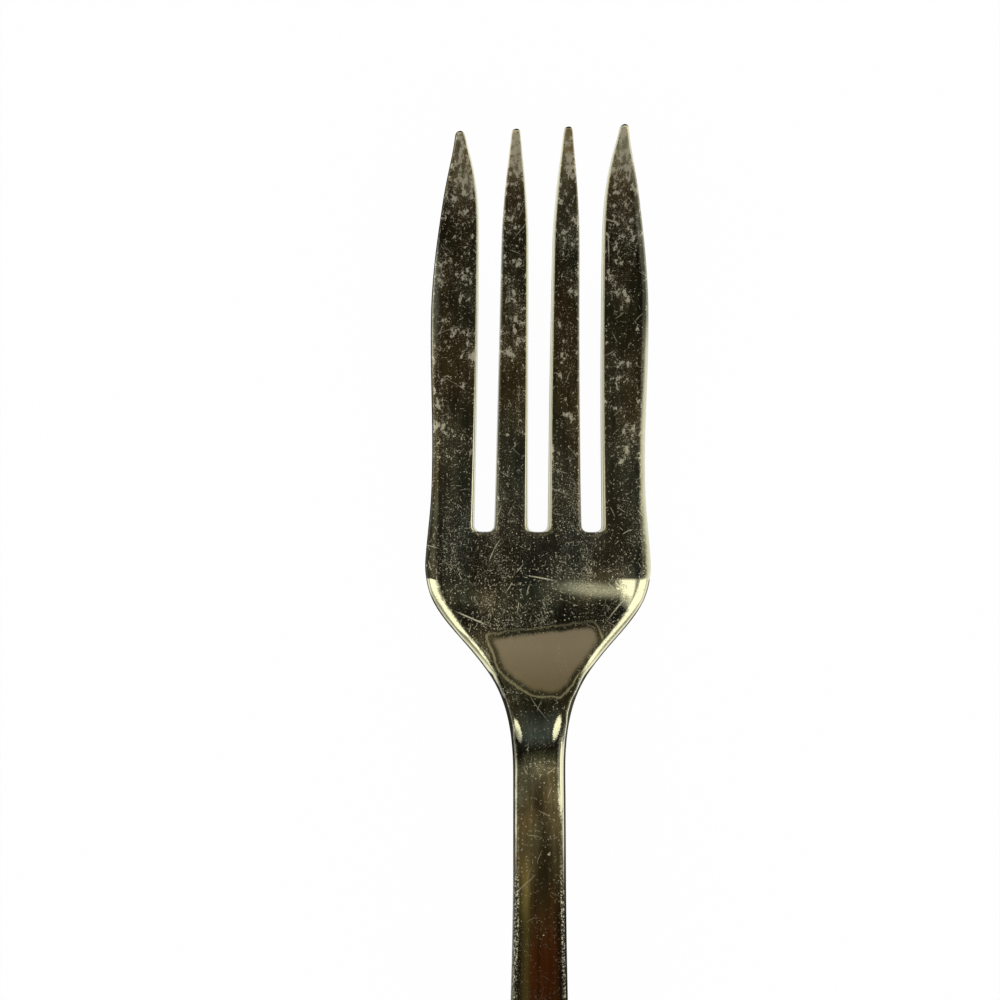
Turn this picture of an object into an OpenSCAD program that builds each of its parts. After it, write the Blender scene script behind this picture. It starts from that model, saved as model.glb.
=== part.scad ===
// Dinner fork with four tines, struck in one piece, lying on its back with the tines towards +Y.
// The whole fork is one skin: rings run along the handle and the head, and then along each tine.

/* [Overall] */
// Length over all, from the handle's end to the longest tip
fork_len = 200; // [170:1:230]
// Length of the head, from the tips to the narrow neck
head_len = 70; // [64:0.5:80]
// Length of the tines, from the bottom of the slots to the tips
tine_len = 44.5; // [38:0.5:50]

/* [Head] */
// Width across the shoulders
head_w = 26; // [24:0.5:30]
// How far the widest part of the shoulders lies behind the slots
shoulder_setback = 4.1; // [2:0.1:5]
// How far the front face sinks between the two shoulders
dish_depth = 0.9; // [0.4:0.1:1.4]
// How much thinner the head is at its outer edge than in the middle
edge_thinning = 0.5; // [0.2:0.05:0.8]

/* [Tines] */
// Distance between the middles of the two inner tines
inner_pitch = 5.7; // [5.4:0.05:6.2]
// Gap between two tines at the back face
slot_w = 2.2; // [1.9:0.05:2.6]
// How much each slot wall leans back towards the front face
slot_draft = 0.14; // [0.06:0.02:0.3]
// Radius in the two corners at the bottom of a slot
root_r = 0.75; // [0.4:0.05:1]
// How far the two outer slots bend outwards, down to their bottoms
slot_splay = 0.5; // [0:0.05:0.8]
// Distance between the tips of the two outer tines
tip_span = 18; // [16:0.2:20]
// Width of each blunt tip
tip_w = 0.9; // [0.8:0.05:1.3]
// How much shorter years of use have left the left tine than the right one
tip_wear = 0.85; // [0:0.05:1.2]

/* [Handle] */
// Width of the stem at the neck
neck_w = 5.8; // [5:0.1:7]
// Width of the handle where it is widest
handle_w = 20; // [16:0.5:24]
// Length of the rounded end, from the widest part of the handle
handle_end_len = 13; // [9:0.5:18]

/* [Thickness] */
// Thickness of the tines just before the tips round off
tip_t = 1.2; // [0.9:0.05:1.5]
// Thickness half way along the tines
tine_t = 2; // [1.6:0.05:2.4]
// Thickness of the head at the shoulders
head_t = 2.6; // [2.2:0.05:3]
// Thickness of the neck, the strongest part
neck_t = 3.9; // [3.3:0.05:4.5]
// Thickness in the middle of the handle
handle_t = 3.2; // [2.7:0.05:3.7]
// Thickness of the handle at its widest part
end_t = 2.3; // [1.9:0.05:2.7]

/* [Side view] */
// Height of the back of the tips over the table
tip_rise = 12.6; // [9:0.2:16]
// Height of the underside of the arched stem over the table
arch_rise = 11; // [8:0.2:14]

/* [Edges] */
// How far the rounding reaches in from the edge of the shoulders and of the handle
head_edge = 1.1; // [0.7:0.05:1.3]
// How far the bevelled edge reaches in along the heel, between the shoulders and the neck
heel_edge = 1.3; // [0.9:0.05:1.6]
// How much of that edge is a flat bevel, and how much is round
heel_bevel = 0.8; // [0:0.05:0.9]
// How far the rounding reaches in from the outer edge of the tines
tine_edge = 0.6; // [0.4:0.05:0.8]
// How far the rounding reaches in from the sides of the stem
stem_edge = 0.55; // [0.4:0.05:0.9]
// Small bevel along the slots
slot_edge = 0.2; // [0.1:0.02:0.3]
// How far the front of the stem bulges up between its sides
stem_crown = 0.3; // [0.1:0.05:0.6]
// How far the back of the stem bulges down between its sides
stem_belly = 1; // [0.6:0.05:1.3]
// Depth of the two bright flats that the table has worn on the back
wear_depth = 0.08; // [0.05:0.01:0.12]

/* [Hidden] */

// Places along the fork
tip_y = fork_len / 2;
end_y = -fork_len / 2;
root_y = tip_y - tine_len;
neck_y = tip_y - head_len;
shoulder_y = root_y - shoulder_setback;
fore_len = tip_y - shoulder_y;
heel_len = shoulder_y - neck_y;
wide_y = end_y + handle_end_len;
handle_len = neck_y - wide_y;
crest_share = 0.19;
crest_y = neck_y - handle_len * crest_share;
tip_r = tip_w / 2;
taper_y = root_y + tine_len / 2;

// Overrun of the cut that grinds the back flat
overrun = 5;

// Numbers of rings and columns
TINES = 4;
OUTER_COLUMNS = 4;
INNER_COLUMNS = 3;
EDGE_STEPS = 8;
END_ROWS = 12;
HANDLE_ROWS = 22;
CREST_ROWS = 8;
HEEL_ROWS = 16;
SHOULDER_ROWS = 3;
ROOT_ROWS = 4;
TINE_ROWS = 9;
TAPER_ROWS = 16;
TIP_ROWS = 4;

// Half width of the tines' outer edge over the tips' half span, from the shoulder to the tip
side_shares = [
    [0, 1], [0.04, 0.96], [0.1, 0.88], [0.16, 0.805], [0.22, 0.777], [0.28, 0.767], [0.34, 0.772],
    [0.42, 0.795], [0.5, 0.81], [0.58, 0.8], [0.63, 0.77], [0.68, 0.71], [0.73, 0.634],
    [0.79, 0.515], [0.86, 0.365], [0.92, 0.195], [0.96, 0.072], [1, 0]
];
// Half width of the head's heel over the neck's, from the shoulder to the neck
heel_shares = [
    [0, 1], [0.09, 0.975], [0.18, 0.91], [0.29, 0.75], [0.39, 0.56], [0.49, 0.375], [0.59, 0.22],
    [0.7, 0.108], [0.8, 0.048], [0.9, 0.015], [1, 0]
];
// Half width of the handle over the neck's, from the neck to the widest part
handle_shares = [[0, 0], [0.1, 0], [0.24, 0.04], [0.45, 0.23], [0.7, 0.62], [0.88, 0.92], [1, 1]];
// Width of an inner tine over its tip's, from the slots to the tip
taper_shares = [
    [0, 1], [0.16, 0.977], [0.31, 0.962], [0.46, 0.93], [0.61, 0.9], [0.7, 0.87], [0.76, 0.83],
    [0.8, 0.735], [0.85, 0.6], [0.9, 0.41], [0.94, 0.23], [0.97, 0.12], [1, 0]
];
// How far an outer tine's inner edge has moved out towards its tip
cut_shares = [
    [0, 0], [0.72, 0], [0.79, 0.03], [0.83, 0.095], [0.87, 0.21], [0.9, 0.345], [0.94, 0.59],
    [0.97, 0.81], [1, 1]
];
// How far an outer slot has bent outwards, from its bottom towards the tips
splay_shares = [
    [0, 1], [0.08, 0.85], [0.16, 0.71], [0.31, 0.465], [0.46, 0.26], [0.61, 0.1], [0.78, 0], [1, 0]
];
// Height of the back of a tine, from the shoulder to the tip
tine_rise_shares = [
    [0, 0], [0.1, 0.012], [0.2, 0.045], [0.35, 0.135], [0.5, 0.275], [0.65, 0.455], [0.8, 0.672],
    [0.9, 0.833], [1, 1]
];
// Height of the back of the heel and the stem, from the shoulder to the crest of the arch
heel_rise_shares = [
    [0, 0], [0.06, 0.01], [0.13, 0.05], [0.2, 0.125], [0.27, 0.23], [0.34, 0.36], [0.41, 0.5],
    [0.48, 0.62], [0.56, 0.735], [0.66, 0.84], [0.77, 0.92], [0.88, 0.975], [1, 1]
];
// Height of the back of the handle, from the crest of the arch to the end
handle_rise_shares = [
    [0, 1], [0.15, 0.965], [0.35, 0.82], [0.6, 0.5], [0.8, 0.19], [0.9, 0.05], [0.96, 0], [1, 0.02]
];

// The value between a and b at the share s
function mix(a, b, s) = a + (b - a) * s;

// The step of a table that holds s, and the slope of a step
function step_of(t, s, i = 0) = (i >= len(t) - 2 || s < t[i + 1][0]) ? i : step_of(t, s, i + 1);
function step_slope(t, i) = (t[i + 1][1] - t[i][1]) / (t[i + 1][0] - t[i][0]);

// The slope of the curve through a table's point i, which never swings past its neighbours
function point_slope(t, i) =
    i == 0 ? step_slope(t, 0)
    : i == len(t) - 1 ? step_slope(t, i - 1)
    : let(a = step_slope(t, i - 1), b = step_slope(t, i)) a * b <= 0 ? 0 : 2 * a * b / (a + b);

// A smooth curve through the points of a table, read at s
function curve(t, s) =
    let(
        i = step_of(t, s),
        h = t[i + 1][0] - t[i][0],
        u = max(0, min(1, (s - t[i][0]) / h)),
        bend = u * u * (3 - 2 * u)
    )
    mix(t[i][1], t[i + 1][1], bend)
    + h * u * (1 - u) * ((1 - u) * point_slope(t, i) - u * point_slope(t, i + 1));

// How round an end is at the distance d inside it, for an end of radius r
function rounding(d, r) = d >= r ? 1 : sqrt(max(0, 1 - pow(1 - max(0, d) / r, 2)));

// Outline, from the middle to the edge, before the tips round off
function half_w(y) =
    y >= shoulder_y
        ? mix(tip_span + tip_w, head_w, curve(side_shares, (y - shoulder_y) / fore_len)) / 2
    : y >= neck_y ? mix(neck_w, head_w, curve(heel_shares, (shoulder_y - y) / heel_len)) / 2
    : y >= wide_y ? mix(neck_w, handle_w, curve(handle_shares, (neck_y - y) / handle_len)) / 2
    : handle_w / 2 * sqrt(max(0, 1 - pow((wide_y - y) / handle_end_len, 2)));

// Height of the back under the middle line
function back_rise(y) =
    y >= shoulder_y
        ? tip_rise * curve(tine_rise_shares, (y - shoulder_y) / fore_len)
    : y >= crest_y
        ? arch_rise * curve(heel_rise_shares, (shoulder_y - y) / (shoulder_y - crest_y))
    : arch_rise * curve(handle_rise_shares, (crest_y - y) / (crest_y - end_y));

// Thickness in the middle of the section
function thickness(y) = curve([
    [end_y, end_t],
    [wide_y, end_t],
    [mix(wide_y, neck_y, 0.5), handle_t],
    [neck_y, neck_t],
    [mix(neck_y, shoulder_y, 0.3), mix(head_t, neck_t, 0.8)],
    [shoulder_y, head_t],
    [taper_y, tine_t],
    [tip_y, tip_t]
], y);

// How far the front stands higher at the edge than in the middle
function front_lift(y) = curve([
    [end_y, -stem_crown / 3],
    [wide_y, -stem_crown / 3],
    [crest_y, -stem_crown],
    [neck_y, -stem_crown],
    [mix(neck_y, shoulder_y, 0.35), dish_depth / 2],
    [mix(neck_y, shoulder_y, 0.7), dish_depth],
    [shoulder_y, dish_depth],
    [taper_y, dish_depth * 0.6],
    [tip_y, dish_depth * 0.15]
], y);

// How far the back stands higher at the edge than in the middle
function back_lift(y) = curve([
    [end_y, stem_belly / 3],
    [wide_y, stem_belly / 3],
    [crest_y, stem_belly],
    [neck_y, stem_belly],
    [mix(neck_y, shoulder_y, 0.35), dish_depth / 2 + edge_thinning],
    [mix(neck_y, shoulder_y, 0.7), dish_depth + edge_thinning],
    [shoulder_y, dish_depth + edge_thinning],
    [taper_y, dish_depth * 0.6 + edge_thinning / 2],
    [tip_y, dish_depth * 0.15]
], y);

// How far the rounding reaches in from the outer edge
function edge_reach(y) = min(0.8 * half_w(y), curve([
    [end_y, head_edge],
    [wide_y, head_edge],
    [crest_y, stem_edge],
    [neck_y, stem_edge],
    [mix(neck_y, shoulder_y, 0.25), stem_edge],
    [mix(neck_y, shoulder_y, 0.6), heel_edge],
    [mix(neck_y, shoulder_y, 0.9), heel_edge],
    [mix(shoulder_y, taper_y, 0.15), head_edge],
    [taper_y, tine_edge],
    [mix(taper_y, tip_y, 0.5), tip_w * 0.4],
    [tip_y, tip_w * 0.4]
], y));

// How much of the edge is a flat bevel
function bevel_share(y) = heel_bevel * curve([
    [neck_y, 0],
    [mix(neck_y, shoulder_y, 0.3), 1],
    [shoulder_y, 1],
    [taper_y, 0]
], y);

// The share of the full taper left at y, and the draft and the small bevel that go with it
function taper(y) = curve(taper_shares, (y - root_y) / tine_len);
function draft(y) = slot_draft * taper(y);
function small_edge(y) = min(slot_edge, tip_w / 7 + slot_edge * taper(y) / 2);
function edge_share(y) = small_edge(y) / thickness(y);

// Levels run from 0 at the front to 1 at the back, and a slot wall bends at four of them
function wall_levels(y) = [0, edge_share(y), 1 - edge_share(y), 1];
function bevel_offset(y, level) =
    small_edge(y) * max(0, 1 - level / edge_share(y), 1 - (1 - level) / edge_share(y));
function draft_offset(y, level) =
    draft(y) * max(0, min(1, (1 - edge_share(y) - level) / (1 - 2 * edge_share(y))));
function wall_offset(y, level) = bevel_offset(y, level) + draft_offset(y, level);

// Widening of a tine where its slots end in two round corners
function root_fill(y) = root_r * (1 - rounding(y - root_y, root_r));

// Back face edges of the tines, from the left tine to the right one
inner_x = inner_pitch / 2;
outer_x = inner_pitch + slot_w / 2;
function splay(y) = slot_splay * curve(splay_shares, (y - root_y) / tine_len);
function inner_half(y) = mix(tip_w, inner_pitch - slot_w, taper(y)) / 2 + root_fill(y);
function outer_inside(y) =
    mix(outer_x, (tip_span - tip_w) / 2, curve(cut_shares, (y - root_y) / tine_len))
    + splay(y) - root_fill(y);
function left_edge(i, y) =
    i == 0 ? -half_w(y)
    : i == 1 ? -inner_x - inner_half(y) - splay(y)
    : i == 2 ? inner_x - inner_half(y)
    : outer_inside(y);
function right_edge(i, y) = -left_edge(TINES - 1 - i, y);

// The middle of a tine at its tip
function tip_x(i) = [-tip_span / 2, -inner_x, inner_x, tip_span / 2][i];

// The edges of a tine's front or back face, inside the rounding of its walls
function face_left(i, y, level) = left_edge(i, y) + (i == 0 ? edge_reach(y) : wall_offset(y, level));
function face_right(i, y, level) = -face_left(TINES - 1 - i, y, level);

// How far the bevel round the bottom of a slot stands back from it
function lean(y, level) =
    bevel_offset(y, level) * max(0, 1 - abs(y - root_y) / shoulder_setback);

// Wear at the tips, from nothing half way along the tines
function worn(x, y) =
    tip_wear * max(0, 0.5 - x / tip_span) * pow(max(0, (y - taper_y) / (tip_y - taper_y)), 2);

// A point of the skin at x, on the section at y, at a level between the front and the back
function skin_point(x, y, level) =
    let(
        w = max(half_w(y), tip_w / 10),
        back = back_rise(y) + back_lift(y) * pow(x / w, 2),
        front = back_rise(y) + thickness(y) + front_lift(y) * pow(x / w, 2),
        end = y > root_y ? rounding(tip_y - y, tip_r) : rounding(y - end_y, head_edge)
    )
    [x, y - lean(y, level) - worn(x, y), mix(front, back, 0.5 + (level - 0.5) * end) - wear_depth];

// The points of an outer edge, front to back, at the side -1 or 1
function edge_points(y, side) = [
    for (k = [1:EDGE_STEPS - 1])
        let(a = 180 * k / EDGE_STEPS, level = mix((1 - cos(a)) / 2, a / 180, bevel_share(y)))
        skin_point(side * (half_w(y) - edge_reach(y) * (1 - sin(a))), y, level)
];

// Columns of a tine, and of all tines and the slots between them
function columns(i) = (i == 0 || i == TINES - 1) ? OUTER_COLUMNS : INNER_COLUMNS;
function tine_row(i, y, level) = [
    for (k = [0:columns(i)]) mix(face_left(i, y, level), face_right(i, y, level), k / columns(i))
];
function slot_middle(i, y, level) = (face_right(i, y, level) + face_left(i + 1, y, level)) / 2;
function root_row(level) = [
    for (i = [0:TINES - 1])
        each concat(tine_row(i, root_y, level), i < TINES - 1 ? [slot_middle(i, root_y, level)] : [])
];

function reversed(list) = [for (i = [len(list) - 1:-1:0]) list[i]];
function closed(ring) = concat(ring, [ring[0]]);

// A ring round the head or the handle
front_row = root_row(0);
back_row = root_row(1);
function body_ring(y) =
    let(scale = (half_w(y) - edge_reach(y)) / (half_w(root_y) - edge_reach(root_y)))
    closed(concat(
        [for (x = front_row) skin_point(x * scale, y, 0)],
        edge_points(y, 1),
        [for (x = reversed(back_row)) skin_point(x * scale, y, 1)],
        reversed(edge_points(y, -1))
    ));

// A tine's point draws in to the middle of the tip as the tip rounds off
function drawn_in(i, p, y) =
    let(end = rounding(tip_y - y, tip_r))
    [mix(tip_x(i), p[0], end), p[1], p[2]];

// The points of a slot wall between its front and back edges, for a tine's side -1 or 1
function wall_points(i, y, side) = [
    for (k = [1:2])
        let(level = wall_levels(y)[k])
        skin_point(side < 0 ? face_left(i, y, level) : face_right(i, y, level), y, level)
];

// A ring round a tine
function tine_ring(i, y) =
    let(
        left = i == 0 ? edge_points(y, -1) : wall_points(i, y, -1),
        right = i == TINES - 1 ? edge_points(y, 1) : wall_points(i, y, 1)
    )
    closed([
        for (p = concat(
            [for (x = tine_row(i, y, 0)) skin_point(x, y, 0)],
            right,
            [for (x = reversed(tine_row(i, y, 1))) skin_point(x, y, 1)],
            reversed(left)
        )) drawn_in(i, p, y)
    ]);

// The floor of the slot to the right of a tine
function slot_floor(i) = [
    for (level = wall_levels(root_y)) [
        skin_point(face_right(i, root_y, level), root_y, level),
        skin_point(slot_middle(i, root_y, level), root_y, level),
        skin_point(face_left(i + 1, root_y, level), root_y, level)
    ]
];

// Places of the rings along the handle and the head, and along the tines
body_places = concat(
    [for (k = [END_ROWS:-1:0]) wide_y - handle_end_len * sin(90 * (1 - pow(1 - k / END_ROWS, 2)))],
    [for (k = [1:HANDLE_ROWS]) mix(wide_y, crest_y, k / HANDLE_ROWS)],
    [for (k = [1:CREST_ROWS]) mix(crest_y, neck_y, k / CREST_ROWS)],
    [for (k = [1:HEEL_ROWS]) mix(neck_y, shoulder_y, k / HEEL_ROWS)],
    [for (k = [1:SHOULDER_ROWS]) mix(shoulder_y, root_y, k / SHOULDER_ROWS)]
);
tine_places = concat(
    [for (k = [0:ROOT_ROWS]) root_y + root_r * (1 - cos(90 * k / ROOT_ROWS))],
    [for (k = [1:TINE_ROWS]) mix(root_y + root_r, taper_y, k / TINE_ROWS)],
    [for (k = [1:TAPER_ROWS]) mix(taper_y, tip_y - tip_r, k / TAPER_ROWS)],
    [for (k = [1:TIP_ROWS]) tip_y - tip_r * (1 - sin(90 * k / TIP_ROWS))]
);

// The skin as patches, each a list of rows of points
patches = concat(
    [[for (y = body_places) body_ring(y)]],
    [for (i = [0:TINES - 1]) [for (y = tine_places) tine_ring(i, y)]],
    [for (i = [0:TINES - 2]) slot_floor(i)]
);

// Whether a triangle has three different corners
function has_area(t, p) = p[t[0]] != p[t[1]] && p[t[1]] != p[t[2]] && p[t[0]] != p[t[2]];

// One solid from patches whose edges meet
module skin(patches) {
    sizes = [for (p = patches) len(p) * len(p[0])];
    starts = [for (k = 0, s = 0; k < len(sizes); s = s + sizes[k], k = k + 1) s];
    points = [for (p = patches) each [for (row = p) each row]];
    quads = [
        for (k = [0:len(patches) - 1])
            let(n = len(patches[k][0]))
            for (r = [0:len(patches[k]) - 2], c = [0:n - 2])
                let(a = starts[k] + r * n + c)
                [a, a + 1, a + n + 1, a + n]
    ];
    triangles = [for (q = quads) each [[q[0], q[1], q[2]], [q[0], q[2], q[3]]]];
    polyhedron(points, [for (t = triangles) if (has_area(t, points)) t]);
}

// What the table has worn away under the back
module worn_away() {
    translate([-head_w, end_y - overrun, -overrun])
        cube([2 * head_w, fork_len + 2 * overrun, overrun]);
}

module fork() {
    color("silver")
        difference() {
            skin(patches);
            worn_away();
        }
}

fork();
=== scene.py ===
"""A worn silver-plated dinner fork on a white studio table, seen from straight above.

The table is z = 0, the tines point to +Y, and one Blender unit is one metre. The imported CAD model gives
the fork's form, and the fork shown here keeps to it.
"""
import math

import bmesh
import bpy
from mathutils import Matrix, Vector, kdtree


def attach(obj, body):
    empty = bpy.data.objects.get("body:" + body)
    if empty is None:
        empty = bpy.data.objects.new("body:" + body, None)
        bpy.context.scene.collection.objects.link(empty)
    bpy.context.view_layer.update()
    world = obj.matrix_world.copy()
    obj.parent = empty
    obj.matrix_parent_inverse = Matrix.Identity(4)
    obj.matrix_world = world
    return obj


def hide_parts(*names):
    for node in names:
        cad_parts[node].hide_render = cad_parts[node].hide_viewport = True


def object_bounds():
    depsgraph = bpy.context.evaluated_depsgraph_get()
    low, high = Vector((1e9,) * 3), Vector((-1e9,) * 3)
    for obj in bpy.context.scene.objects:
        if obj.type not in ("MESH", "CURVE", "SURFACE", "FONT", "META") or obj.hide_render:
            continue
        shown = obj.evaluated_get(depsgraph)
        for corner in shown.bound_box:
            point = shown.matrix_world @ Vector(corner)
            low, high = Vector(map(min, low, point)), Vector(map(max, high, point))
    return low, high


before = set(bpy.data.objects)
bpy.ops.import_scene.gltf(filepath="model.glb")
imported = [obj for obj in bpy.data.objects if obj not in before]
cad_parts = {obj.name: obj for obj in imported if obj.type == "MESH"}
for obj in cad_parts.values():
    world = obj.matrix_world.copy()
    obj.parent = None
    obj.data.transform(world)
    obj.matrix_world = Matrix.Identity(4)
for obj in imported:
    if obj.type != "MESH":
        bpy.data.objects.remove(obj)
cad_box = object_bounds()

# The fork is one blank of nickel silver, rolled thin towards the tines, struck to its arch and dish in a
# die, slotted, and silver plated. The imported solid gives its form: its facets are welded and smoothed here.
MM = 0.001
WELD_DISTANCE = 0.002 * MM
FLAT_QUAD = math.radians(40)
SKEW_QUAD = math.radians(60)
SMOOTHING_LEVELS = 2

shape = bmesh.new()
shape.from_mesh(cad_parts["fork"].data)
bmesh.ops.remove_doubles(shape, verts=shape.verts, dist=WELD_DISTANCE)
bmesh.ops.join_triangles(
    shape, faces=shape.faces, angle_face_threshold=FLAT_QUAD, angle_shape_threshold=SKEW_QUAD
)
bmesh.ops.recalc_face_normals(shape, faces=shape.faces)
for face in shape.faces:
    face.smooth = True
for edge in shape.edges:
    edge.smooth = True

# How far each point lies from the outline, seen from above, tells the material where rubbing is worst.
# The outline is the steep walls that face away from the fork's middle, without those inside the slots.
STEEP_NORMAL = 0.4
SLOTS_FROM = 55 * MM
OUTER_TINES_FROM = 6.5 * MM
walls = kdtree.KDTree(len(shape.verts))
for vert in shape.verts:
    outwards = vert.normal.x * vert.co.x > 0 and abs(vert.normal.z) < STEEP_NORMAL
    if outwards and (vert.co.y < SLOTS_FROM or abs(vert.co.x) > OUTER_TINES_FROM):
        walls.insert((vert.co.x, vert.co.y, 0), vert.index)
walls.balance()
inside = shape.verts.layers.float.new("inside_mm")
for vert in shape.verts:
    vert[inside] = walls.find((vert.co.x, vert.co.y, 0))[2] / MM

fork_mesh = bpy.data.meshes.new("fork_skin")
shape.to_mesh(fork_mesh)
shape.free()
if "custom_normal" in fork_mesh.attributes:
    fork_mesh.attributes.remove(fork_mesh.attributes["custom_normal"])

scene = bpy.context.scene
fork = bpy.data.objects.new("fork_skin", fork_mesh)
scene.collection.objects.link(fork)
smoothing = fork.modifiers.new("smoothing", "SUBSURF")
smoothing.levels = SMOOTHING_LEVELS
smoothing.render_levels = SMOOTHING_LEVELS


def linear(hex_colour):
    """An sRGB colour such as "C8C0A8" as linear red, green, blue and alpha."""
    parts = [int(hex_colour[k:k + 2], 16) / 255 for k in (0, 2, 4)]
    return [c / 12.92 if c <= 0.04045 else ((c + 0.055) / 1.055) ** 2.4 for c in parts] + [1.0]


def add(tree, kind, inputs=None, **settings):
    """A new node with its settings, each input fed by a value, an output, or a node's first output.

    A Mix node takes its two colours at 6 and 7 and gives the mixed one at output 2.
    """
    made = tree.nodes.new(kind)
    for name, value in settings.items():
        setattr(made, name, value)
    for name, value in (inputs or {}).items():
        if isinstance(value, bpy.types.Node):
            value = value.outputs[0]
        if isinstance(value, bpy.types.NodeSocket):
            tree.links.new(value, made.inputs[name])
        else:
            made.inputs[name].default_value = value
    return made


# The finish is silver plate under a dark film of tarnish. It gives the eye an olive black metal, freckled
# with dull bare specks, crossed by hairlines, and bright at its rims, with painted reflections, highlights
# and shade laid into its colour.
# Sizes and places are in millimetres, and a pair such as STRIP_TOP is where a fade starts and where it ends.
PLATE_COLOUR = "F2F0D8"
SPECK_COLOUR = "EBE4D2"
DARK_COLOUR = "2A261A"
HALF_LENGTH = round(cad_box[1][1] / MM, 3)

silver = bpy.data.materials.new("tarnished_silver_plate")
silver.use_nodes = True
tree = silver.node_tree
tree.nodes.clear()
place = add(tree, "ShaderNodeTexCoord")
mm = add(tree, "ShaderNodeVectorMath", {0: place.outputs["Object"], "Scale": 1 / MM}, operation="SCALE")
spot = add(tree, "ShaderNodeSeparateXYZ", {0: mm})
x_mm = spot.outputs["X"]
y_mm = spot.outputs["Y"]
flat = add(tree, "ShaderNodeCombineXYZ", {"X": x_mm, "Y": y_mm})
normal = add(tree, "ShaderNodeSeparateXYZ", {0: place.outputs["Normal"]})
front = add(tree, "ShaderNodeMath", {0: normal.outputs["Z"], 1: 0.0}, operation="GREATER_THAN")
rim = add(tree, "ShaderNodeAttribute", attribute_name="inside_mm").outputs["Fac"]

# Clouds gather or thin out the marks, drawn out along the fork as a polishing cloth leaves them.
CLOUD_SIZE = 3.5
CLOUD_STRETCH = 2.0
DRIFT_SIZE = 5.0
drawn = add(tree, "ShaderNodeMapping", {"Vector": mm, "Scale": (1.0, 1 / CLOUD_STRETCH, 1.0)})
cloud = add(tree, "ShaderNodeTexNoise", {
    "Vector": drawn, "Scale": 1 / CLOUD_SIZE, "Detail": 4.0, "Roughness": 0.6,
})
drift = add(tree, "ShaderNodeTexNoise", {"Vector": drawn, "Scale": 1 / DRIFT_SIZE, "Detail": 2.0})

# The zones: at each place along the fork, how bare and bright its rims are, from rubbing and from painted
# highlights, how grained it is, and how mottled.
ZONES = [
    (-100, 1.0, 0.6, 0.0), (-20, 0.5, 0.0, 0.0), (0, 0.15, 0.0, 0.0), (17, 0.15, 0.1, 0.0),
    (23, 1.0, 0.1, 0.0), (27, 1.0, 0.3, 0.0), (30, 0.7, 0.8, 0.0), (31, 0.3, 0.0, 0.0),
    (35, 0.3, 0.0, 0.0), (37, 0.3, 0.45, 0.0), (40, 1.0, 0.75, 0.0), (50, 1.0, 0.8, 0.0),
    (50.4, 0.9, 1.0, 0.0), (62, 0.8, 0.8, 0.0), (76, 0.8, 0.8, 0.0), (80, 0.3, 0.8, 0.0),
    (87, 0.3, 0.8, 0.0), (96, 0.3, 1.0, 0.7), (100, 0.3, 1.0, 1.0),
]
BEHIND_TINES = (66.0, 54.0)


def set_stops(ramp, colours):
    """Give a ramp that runs the fork's length its colours, each after its place along the fork."""
    stops = ramp.color_ramp.elements
    for y, colour in colours[1:-1]:
        stops.new((y + HALF_LENGTH) / (2 * HALF_LENGTH)).color = colour
    stops[0].color = colours[0][1]
    stops[-1].color = colours[-1][1]


along_fork = add(tree, "ShaderNodeMapRange", {
    "Value": y_mm, "From Min": -HALF_LENGTH, "From Max": HALF_LENGTH,
})
zone = add(tree, "ShaderNodeValToRGB", {0: along_fork})
set_stops(zone, [(y, (*shares, 1.0)) for y, *shares in ZONES])
zone = add(tree, "ShaderNodeSeparateColor", {0: zone})
rubbing_and_sheen = zone.outputs[0]
graining = zone.outputs[1]
mottling = zone.outputs[2]
behind_tines = add(tree, "ShaderNodeMapRange", {
    "Value": y_mm, "From Min": BEHIND_TINES[0], "From Max": BEHIND_TINES[1],
}, interpolation_type="SMOOTHSTEP")

# The film of tarnish: its colour goes by the place along the fork, and drifts. The colours along the fork
# also hold
# painted reflections: the red-brown of the stem from -10 to 15, the pale band below the neck at 29, the dark
# band and grey-blue sheen at the neck's crest from 32 to 36.5, and the light tips from 96.5 on.
FILM_AND_REFLECTION_COLOURS = [
    (-100, "4E4938"), (-45, "5A4C36"), (-10, "6A452B"), (9, "713F21"), (15, "6A4D2E"), (21, "483E2C"),
    (25, "504938"), (29, "A59F84"), (30.6, "6E6A54"), (32, "28251B"), (34, "444745"), (36.5, "2C291D"),
    (40, "3A372A"), (49, "38362D"), (56, "55524A"), (62, "625E4E"), (70, "62573E"), (80, "554A34"),
    (88, "443D2C"), (93, "6E6048"), (96.5, "B5A280"), (100, "F0DFBA"),
]
COLOUR_DRIFT = 3.0
drift_mm = add(tree, "ShaderNodeMath", {
    0: drift, 1: 2 * COLOUR_DRIFT, 2: y_mm,
}, operation="MULTIPLY_ADD")
film_place = add(tree, "ShaderNodeMapRange", {
    "Value": drift_mm, "From Min": COLOUR_DRIFT - HALF_LENGTH, "From Max": COLOUR_DRIFT + HALF_LENGTH,
})
film_and_reflections = add(tree, "ShaderNodeValToRGB", {0: film_place})
set_stops(film_and_reflections, [(y, linear(colour)) for y, colour in FILM_AND_REFLECTION_COLOURS])

# Streaks run along the fork, and where it is grained a haze of clouds lightens and darkens it.
STREAK_WIDTH = 1 / 3
STREAK_LENGTH = 25 / 3
STREAK_SHADES = (0.72, 1.3)
HAZE_SHADES = (0.65, 1.4)
WELL_GRAINED = 0.5
streaked = add(tree, "ShaderNodeMapping", {
    "Vector": mm, "Scale": (1 / STREAK_WIDTH, 1 / STREAK_LENGTH, 1.0),
})
streak = add(tree, "ShaderNodeTexNoise", {"Vector": streaked, "Scale": 1.0, "Detail": 3.0})
shade = add(tree, "ShaderNodeMapRange", {
    "Value": streak, "From Min": 0.3, "From Max": 0.7,
    "To Min": STREAK_SHADES[0], "To Max": STREAK_SHADES[1],
})
haze = add(tree, "ShaderNodeMapRange", {
    "Value": cloud, "From Min": 0.35, "From Max": 0.65, "To Min": HAZE_SHADES[0], "To Max": HAZE_SHADES[1],
})
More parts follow.
